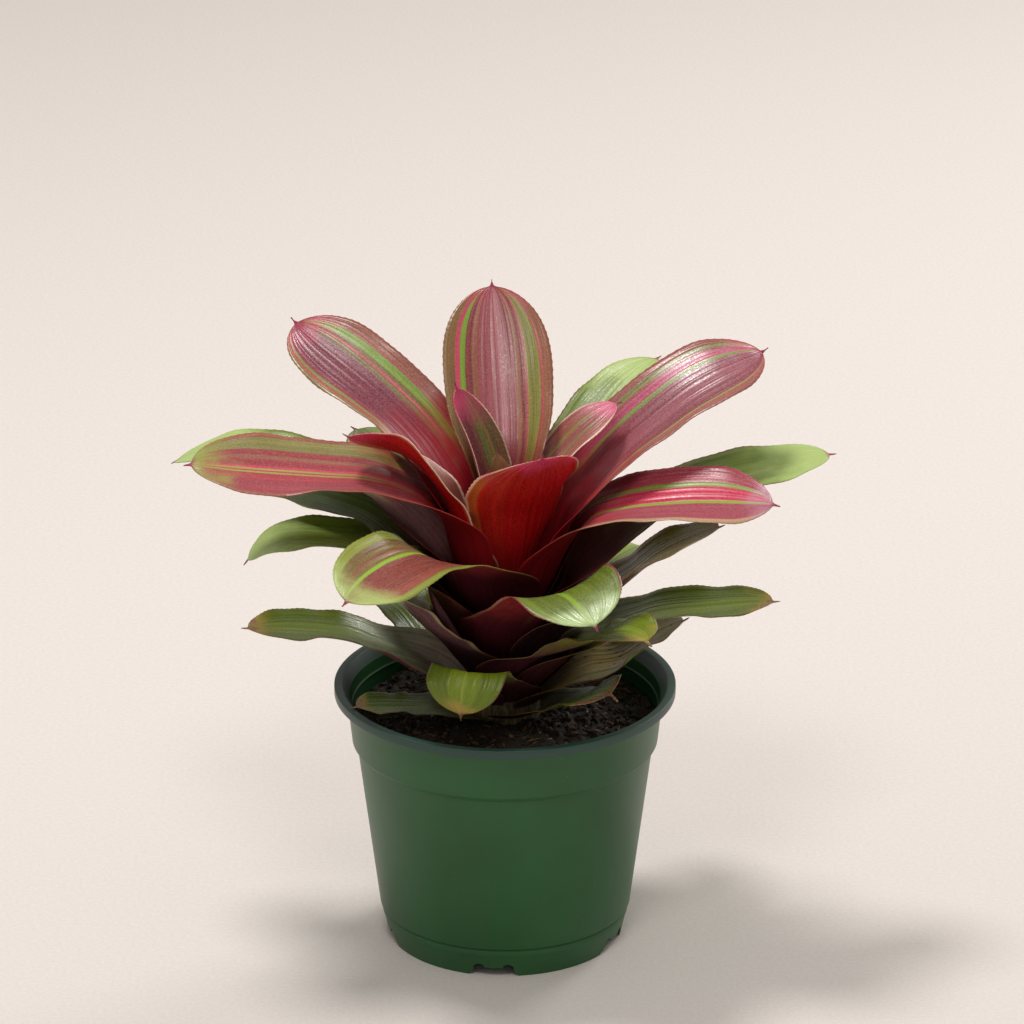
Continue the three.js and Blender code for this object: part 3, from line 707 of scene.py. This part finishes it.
# The upper skins. The bands run from the margin on the left of a leaf, seen from its base with its
# upper face towards the eye, to the margin on its right.
UPPER = {
    "tall_striped": dict(
        bands=[("7c5c38", 0.11), ("b03c58", 0.16), ("6f8c2c", 0.215), ("7c3438", 0.28), ("8c5240", 0.33),
               ("8a3e48", 0.40), ("965058", 0.58), ("844044", 0.66), ("8c5c48", 0.70), ("7a3436", 0.745),
               ("a44848", 0.765), ("74702c", 0.84), ("7c7c36", 0.875), ("983c40", 0.90), ("84503a", 1)],
        base="781824", tip="b83458", tip_reach=0.95, base_reach=0.36, rough=0.26),
    "mauve_striped_left": dict(
        bands=[("80663e", 0.06), ("a44450", 0.09), ("787a3c", 0.13), ("783440", 0.2), ("702c3e", 0.6),
               ("746040", 0.67), ("b84c5c", 0.695), ("746238", 0.75), ("708a30", 0.84), ("985048", 0.87),
               ("80483a", 1)],
        base="90101c", tip="b83458", tip_reach=0.94, base_reach=0.46, rough=0.26),
    "mauve_striped_right": dict(
        bands=[("8c5048", 0.08), ("74783c", 0.13), ("884448", 0.18), ("a84462", 0.27), ("74803a", 0.32),
               ("7e3846", 0.5), ("884854", 0.7), ("7e3a46", 0.85), ("90904c", 0.87), ("8c5048", 1)],
        base="8c121e", tip="b83458", tip_reach=0.95, base_reach=0.44, rough=0.26),
    "pink_green_banded": dict(
        bands=[("943444", 0.22), ("7c883a", 0.29), ("b82448", 0.5), ("869638", 0.57), ("943c4c", 0.9),
               ("a88464", 1)],
        base="900c1a", tip="b8889a", tip_reach=0.94, base_reach=0.42),
    "green_red_banded": dict(
        bands=[("8c4c3c", 0.05), ("8c3440", 0.3), ("98303e", 0.43), ("869c3c", 0.455), ("a83048", 0.49),
               ("8a8c40", 0.52), ("b83454", 0.56), ("8c3038", 0.66), ("8c5444", 0.72), ("8c3038", 0.8),
               ("7c7440", 0.95), ("8c5040", 1)],
        base="940c16", tip="8c8c44", tip_reach=0.9, base_reach=0.4),
    "olive_mauve": dict(
        bands=[("d8b4a0", 0.02), ("70403a", 0.2), ("682438", 0.5), ("6a3c32", 0.62), ("5c662c", 0.7),
               ("74642c", 0.8), ("644a2a", 0.978), ("d8b4a0", 1)],
        base="561c24", tip="b83c60", tip_reach=0.84, base_reach=0.2, speckle=0.35),
    "narrow_mauve": dict(
        bands=[("d8a8a0", 0.03), ("884840", 0.3), ("7c6434", 0.4), ("844440", 0.6), ("786034", 0.68),
               ("8c4c44", 0.95), ("d8b4a0", 1)],
        base="841c24", tip="c8607c", tip_reach=0.9, base_reach=0.4),
    "short_mauve": dict(
        bands=[("d8b4a0", 0.03), ("90524c", 0.35), ("864440", 0.6), ("7c683c", 0.72), ("905048", 0.97),
               ("d8b4a0", 1)],
        base="901420", tip="cc5c78", tip_reach=0.84, base_reach=0.35),
    "green_margined": dict(
        bands=[("7c842e", 0.1), ("844034", 0.26), ("7c3830", 0.6), ("84a82c", 0.64), ("74622e", 0.7),
               ("844c3c", 0.74), ("6e562a", 0.88), ("7c842e", 1)],
        base="7c1018", tip="a0ae64", tip_reach=0.88, base_reach=0.35),
    "green_pale_tip": dict(
        bands=[("7c2c30", 0.02), ("54641c", 0.3), ("5c6e22", 0.52), ("789628", 0.58), ("586a24", 0.85),
               ("607226", 0.98), ("7c2c30", 1)],
        base="4c1c18", tip="a4b87c", tip_reach=0.86, base_reach=0.5),
    "spotted_yellow": dict(
        bands=[("7c4a2c", 0.03), ("8a7a14", 0.3), ("a08818", 0.7), ("807820", 0.97), ("7c4a2c", 1)],
        base="5c4810", tip="a0906c", base_reach=0.25, dots=0.8),
    "green": dict(
        bands=[("6a5030", 0.015), ("627820", 0.3), ("70862a", 0.485), ("a0904c", 0.51), ("70862a", 0.7),
               ("627820", 0.985), ("6a5030", 1)],
        base="5a1c1e", tip="9cb064", tip_reach=0.8, base_reach=0.45, streak=0.18, rough=0.38),
    "green_dry_tip": dict(
        bands=[("6c5420", 0.015), ("647612", 0.3), ("748818", 0.48), ("8c9a30", 0.52), ("748818", 0.7),
               ("647612", 0.985), ("6c5420", 1)],
        base="543c20", tip="8c8430", tip_reach=0.88, base_reach=0.28, streak=0.18, speckle=0.08,
        dry=0.955),
    "green_long_dry_tip": dict(
        bands=[("6c5420", 0.015), ("5c7612", 0.3), ("6c881a", 0.7), ("5c7612", 0.985), ("6c5420", 1)],
        base="443c18", tip="949038", tip_reach=0.82, base_reach=0.25, streak=0.18, speckle=0.08,
        dry=0.86),
}
# The under skins, in plain bands.
LOWER = {
    # Under skin of the outer red leaves: the leaf's own red, painted brighter to stand in for light
    # shining through the leaf from behind.
    "red_with_painted_backlight": dict(
        bands=[("d0b08c", 0.02), ("a84420", 0.05), ("b01014", 0.3), ("a8080e", 0.7), ("b01c14", 0.9),
               ("a85420", 0.98), ("d0b08c", 1)],
        base="800810", tip="d0406c", tip_reach=0.9, base_reach=0.3, speckle=0.06, glow=0.25),
    "wine_red": dict(
        bands=[("94583c", 0.03), ("7c141c", 0.3), ("700e18", 0.55), ("7c4c20", 0.6), ("74141e", 0.97),
               ("94583c", 1)],
        base="400c16", tip="90703c", tip_reach=0.85, base_reach=0.4, speckle=0.12),
    "mauve_under": dict(
        bands=[("94583c", 0.05), ("84343a", 0.3), ("7c403e", 0.6), ("846840", 0.8), ("945440", 1)],
        base="780c14", tip="947850", base_reach=0.5, speckle=0.2),
    "purple_sheath": dict(
        bands=[("5c681c", 0.2), ("687820", 0.5), ("5c681c", 0.8), ("686824", 1)],
        base="4c1e2a", tip="7c7c38", base_reach=0.5, speckle=0.22),
    "purple_brown": dict(
        bands=[("907c58", 0.04), ("66404a", 0.3), ("5e3a42", 0.6), ("786c3c", 0.7), ("66424c", 0.95),
               ("907c58", 1)],
        base="361820", tip="888048", base_reach=0.4, speckle=0.3),
    "green_under": dict(
        bands=[("6c7834", 0.1), ("7c9448", 0.5), ("728a42", 0.9), ("6c7834", 1)],
        base="542820", tip="82925e", base_reach=0.4, speckle=0.3, streak=0.3),
    "green_under_dry": dict(
        bands=[("6c7834", 0.1), ("70882e", 0.5), ("687e2a", 0.9), ("6c7834", 1)],
        base="481e22", tip="7c7c38", base_reach=0.45, speckle=0.3, dry=0.9),
}
upper_skins = {name: leaf_skin(name + "_upper_skin", **paint) for name, paint in UPPER.items()}
lower_skins = {name: leaf_skin(name + "_under_skin", **paint) for name, paint in LOWER.items()}

# Each leaf: its skins, how far its thorn hooks up or down, and how much its margins wave.
LEAVES = [
    ("leaf_01", "green_long_dry_tip", "green_under_dry", -0.5, 0.5, "green_leaf"),
    ("leaf_02", "green_long_dry_tip", "green_under_dry", -4.0, 0.7, "green_leaf"),
    ("leaf_03", "green_dry_tip", "green_under_dry", -1.0, 0.8, "green_leaf"),
    ("leaf_04", "green_dry_tip", "green_under_dry", -1.0, 0.8, "green_leaf"),
    ("leaf_05", "spotted_yellow", "green_under_dry", 0.5, 0.8, "green_leaf"),
    ("leaf_06", "green_dry_tip", "purple_sheath", 0.0, 0.8, "green_leaf"),
    ("leaf_07", "green_dry_tip", "green_under_dry", -1.0, 0.7, "green_leaf"),
    ("leaf_08", "green_dry_tip", "green_under_dry", -1.0, 0.8, "green_leaf"),
    ("leaf_09", "green_dry_tip", "green_under_dry", 0.0, 0.8, "green_leaf"),
    ("leaf_10", "green_dry_tip", "purple_sheath", -3.0, 1.2, "green_leaf"),
    ("leaf_11", "green", "purple_brown", 0.0, 0.8, "green_leaf"),
    ("leaf_12", "green", "green_under", -1.0, 0.8, "green_leaf"),
    ("leaf_13", "spotted_yellow", "purple_brown", 0.0, 0.8, "green_leaf"),
    ("leaf_14", "green_pale_tip", "wine_red", -1.5, 0.6, "red_leaf"),
    ("leaf_15", "green", "green_under", -1.5, 1.0, "green_leaf"),
    ("leaf_16", "green", "green_under", -1.0, 0.8, "green_leaf"),
    ("leaf_17", "green", "green_under", -1.0, 0.8, "green_leaf"),
    ("leaf_18", "green", "green_under", -1.0, 0.8, "green_leaf"),
    ("leaf_19", "green_margined", "wine_red", -1.5, 0.7, "red_leaf"),
    ("leaf_20", "green", "green_under", -1.0, 0.8, "green_leaf"),
    ("leaf_21", "green", "green_under", -1.0, 1.0, "green_leaf"),
    ("leaf_22", "green", "green_under", -1.0, 1.2, "green_leaf"),
    ("leaf_23", "pink_green_banded", "mauve_under", -1.5, 0.7, "red_leaf"),
    ("leaf_24", "mauve_striped_right", "mauve_under", 1.5, 0.7, "red_leaf"),
    ("leaf_25", "green_red_banded", "mauve_under", -1.5, 1.0, "red_leaf"),
    ("leaf_26", "mauve_striped_left", "mauve_under", 2.0, 0.7, "red_leaf"),
    # These three outer leaves carry the under skin with painted backlight.
    ("leaf_27", "short_mauve", "red_with_painted_backlight", 1.0, 0.8, "red_leaf"),
    ("leaf_28", "short_mauve", "red_with_painted_backlight", 0.5, 1.0, "red_leaf"),
    ("leaf_29", "narrow_mauve", "red_with_painted_backlight", -2.0, 0.5, "red_leaf"),
    ("leaf_30", "tall_striped", "mauve_under", 0.0, 0.4, "red_leaf"),
    ("leaf_31", "olive_mauve", "mauve_under", 1.0, 0.3, "red_leaf"),
    ("leaf_32", "olive_mauve", "mauve_under", 0.5, 0.3, "red_leaf"),
]
for number, (name, upper, lower, hook, ripple, finish) in enumerate(LEAVES):
    leaf = leaf_blade(name, hook, ripple, number, upper_skins[upper], lower_skins[lower])


# ---------------------------------------------------------------- floor, light and camera
# A plain pale floor, a large soft light overhead, a fill from the front and one from behind on the
# right, which gives the upper leaves their sheen.


def plaster_floor():
    """Smooth pale plaster with a very fine grain."""
    made, tree = material("pale_floor")
    place = add(tree, "ShaderNodeTexCoord").outputs["Object"]
    grain = add(tree, "ShaderNodeTexNoise", {"Vector": place, "Scale": 1 / (2 * MM), "Detail": 3.0})
    colour = add(tree, "ShaderNodeValToRGB", {"Fac": grain.outputs["Fac"]},
                 stops=[(0.3, linear("cbc3be")), (0.7, linear("d3cbc6"))])
    bump = add(tree, "ShaderNodeBump", {
        "Height": grain.outputs["Fac"], "Strength": 0.3, "Distance": 0.2 * MM})
    shader = add(tree, "ShaderNodeBsdfPrincipled", {
        "Base Color": colour.outputs["Color"], "Roughness": 0.9, "Normal": bump.outputs[0]})
    finish_material(tree, shader)
    return made


floor_mesh = bmesh.new()
bmesh.ops.create_grid(floor_mesh, x_segments=2, y_segments=2, size=8)
floor = piece("studio_floor", floor_mesh, [plaster_floor()], smooth=False)


def soft_light(name, spot, aim, size, power, colour):
    data = bpy.data.lights.new(name, "AREA")
    data.shape = "DISK"
    data.size = size
    data.energy = power
    data.color = linear(colour)[:3]
    lamp = bpy.data.objects.new(name, data)
    bpy.context.scene.collection.objects.link(lamp)
    lamp.location = spot
    lamp.rotation_euler = (Vector(aim) - Vector(spot)).to_track_quat("-Z", "Y").to_euler()


soft_light("overhead_light", (-0.5, 0.45, 2.2), (0, 0, 0.15), 0.5, 32, "fffdfb")
soft_light("front_fill", (-0.15, -1.4, 2.3), (0, 0, 0.2), 0.7, 16, "fffdfa")
soft_light("back_light", (1.2, 1.5, 1.2), (0, 0, 0.2), 0.7, 16, "fffdfa")

world = bpy.data.worlds.new("studio")
bpy.context.scene.world = world
world.use_nodes = True
world.node_tree.nodes["Background"].inputs["Color"].default_value = linear("f8f5f0")
world.node_tree.nodes["Background"].inputs["Strength"].default_value = 0.5

bpy.context.scene.view_settings.view_transform = "Standard"

view = bpy.data.cameras.new("studio_camera")
view.lens = 232.8
view.sensor_width = 36
view.clip_end = 50
camera = bpy.data.objects.new("studio_camera", view)
bpy.context.scene.collection.objects.link(camera)
camera.location = (0.00338, -2.9346, 1.4060)
camera.rotation_euler = (math.radians(90 - 22.03), 0, 0)
bpy.context.scene.camera = camera
